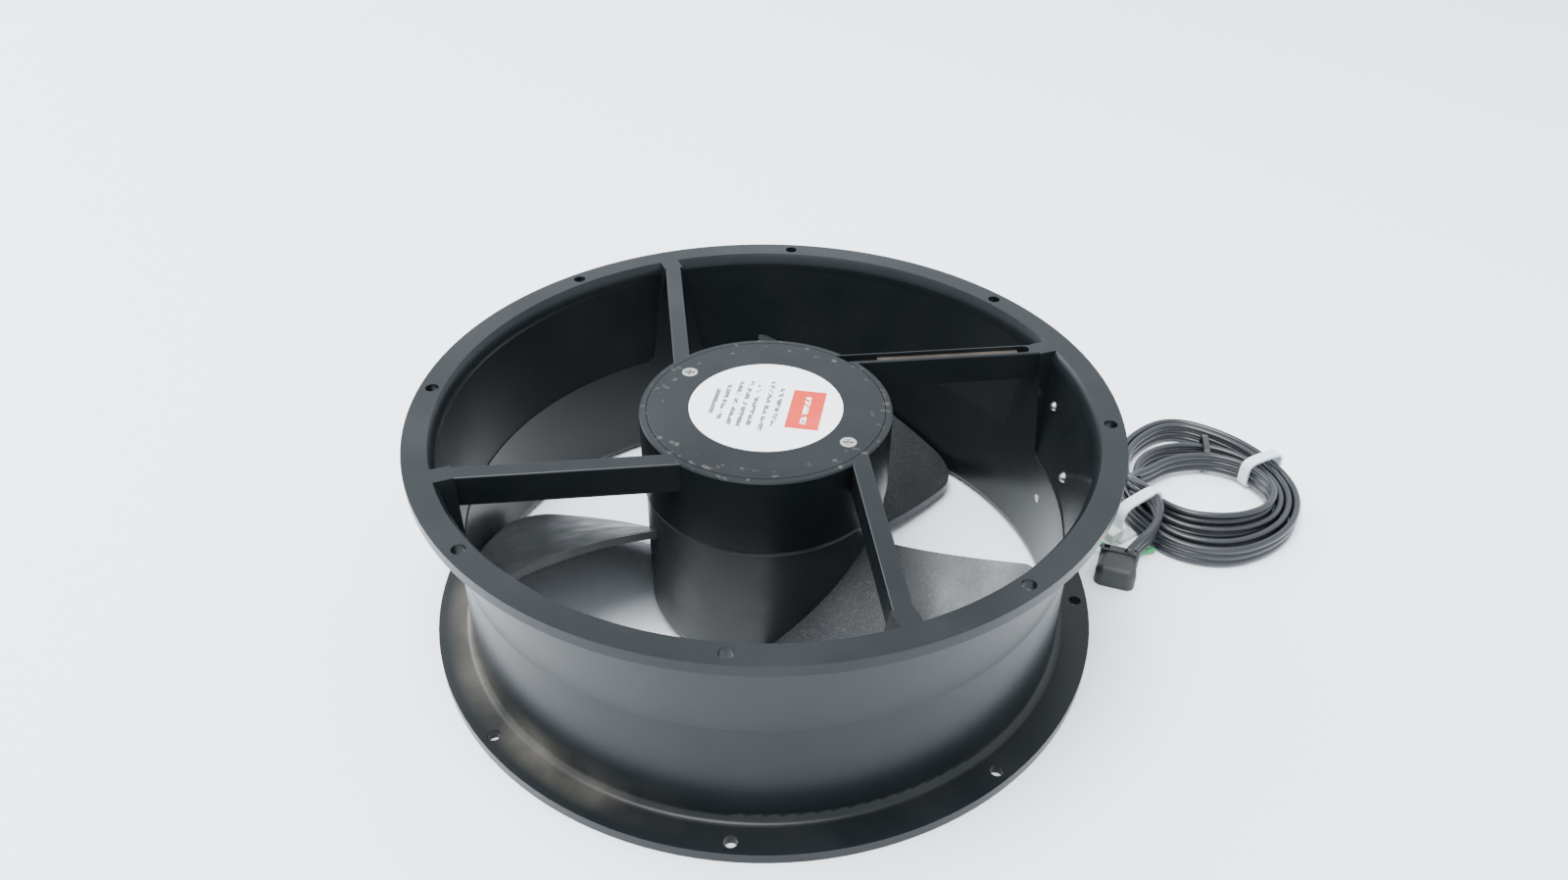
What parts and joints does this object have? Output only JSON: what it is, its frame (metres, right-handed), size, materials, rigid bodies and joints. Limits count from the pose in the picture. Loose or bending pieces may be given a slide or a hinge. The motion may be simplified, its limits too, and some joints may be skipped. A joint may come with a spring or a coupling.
{
  "type": "axial air mover",
  "caption": "Round through-duct axial fan: flanged casing, strut-held external-rotor motor, swept impeller, and a tied flat lead set with plug and earth wire.",
  "frame": {"origin": "centre of the fan's bottom (outlet) face", "axes": "+Z along the impeller's axis towards the inlet face and motor cover; the lead set lies on the +X side; +Y is at right angles"},
  "size_m": [0.3549, 0.2551, 0.0889],
  "materials": {
    "casting": "satin black paint",
    "cover": "satin black paint",
    "screw_steel": "zinc plated",
    "label": "printed label",
    "lamination": "laminated sheet steel",
    "insulator": "moulded",
    "winding": "enamelled copper wire",
    "protector": "sleeved",
    "tube_alloy": "turned",
    "bearing_steel": "ground",
    "shaft_steel": "ground",
    "spring_steel": "blued",
    "rotor_steel": "pressed",
    "impeller": "dark grey paint",
    "block": "moulded",
    "terminal": "tinned",
    "motor_lead": "insulated wire",
    "sealant": "cured resin",
    "cord_jacket": "flexible flat cord",
    "core_copper": "stranded copper",
    "earth_green": "insulated wire",
    "connector": "moulded",
    "tie_white": "nylon",
    "tie_black": "nylon"
  },
  "bodies": {
    "frame": {"barrel": "casting", "bottom_flange": "casting", "top_flange": "casting", "motor_spider": "casting", "cover_plate": "cover", "cover_screws": "screw_steel", "block_rivets": "screw_steel", "earth_screw": "screw_steel", "rating_label": "label", "stator_core": "lamination", "stator_end_insulators": "insulator", "stator_windings": "winding", "thermal_protector": "protector", "bearing_tube": "tube_alloy", "lower_bearing_outer_race": "bearing_steel", "upper_bearing_outer_race": "bearing_steel", "preload_washer": "spring_steel", "bore_circlip": "spring_steel", "terminal_block": "block", "terminal_blades": "terminal", "connector_contacts": "terminal", "earth_ring_terminal": "terminal", "motor_leads": "motor_lead", "trough_sealant": "sealant", "cord_tail": "cord_jacket", "cord_end": "cord_jacket", "cord_coil": "cord_jacket", "stripped_cores": "core_copper", "earth_lead": "earth_green", "connector_body": "connector", "right_tie": "tie_white", "left_tie": "tie_white", "black_tie": "tie_black"},
    "rotor": {"impeller": "impeller", "balance_slugs": "screw_steel", "hub_rivets": "screw_steel", "rotor_cup": "rotor_steel", "rotor_core": "lamination", "rotor_end_rings": "tube_alloy", "shaft": "shaft_steel", "shaft_circlip": "spring_steel", "lower_bearing_inner_race": "bearing_steel", "upper_bearing_inner_race": "bearing_steel"},
    "lower_ball_set": {"lower_bearing_balls": "bearing_steel"},
    "upper_ball_set": {"upper_bearing_balls": "bearing_steel"}
  },
  "joints": [
    {"name": "impeller_spin", "type": "hinge", "parent": "frame", "child": "rotor", "pos_m": [0, 0, 0.045], "axis": [0, 0, 1], "continuous": true},
    {"name": "lower_ball_orbit", "type": "hinge", "parent": "frame", "child": "lower_ball_set", "pos_m": [0, 0, 0.018], "axis": [0, 0, 1], "continuous": true},
    {"name": "upper_ball_orbit", "type": "hinge", "parent": "frame", "child": "upper_ball_set", "pos_m": [0, 0, 0.0715], "axis": [0, 0, 1], "continuous": true}
  ],
  "couplings": [
    {"joint": "lower_ball_orbit", "follows": "impeller_spin", "ratio": 0.368},
    {"joint": "upper_ball_orbit", "follows": "impeller_spin", "ratio": 0.368}
  ]
}
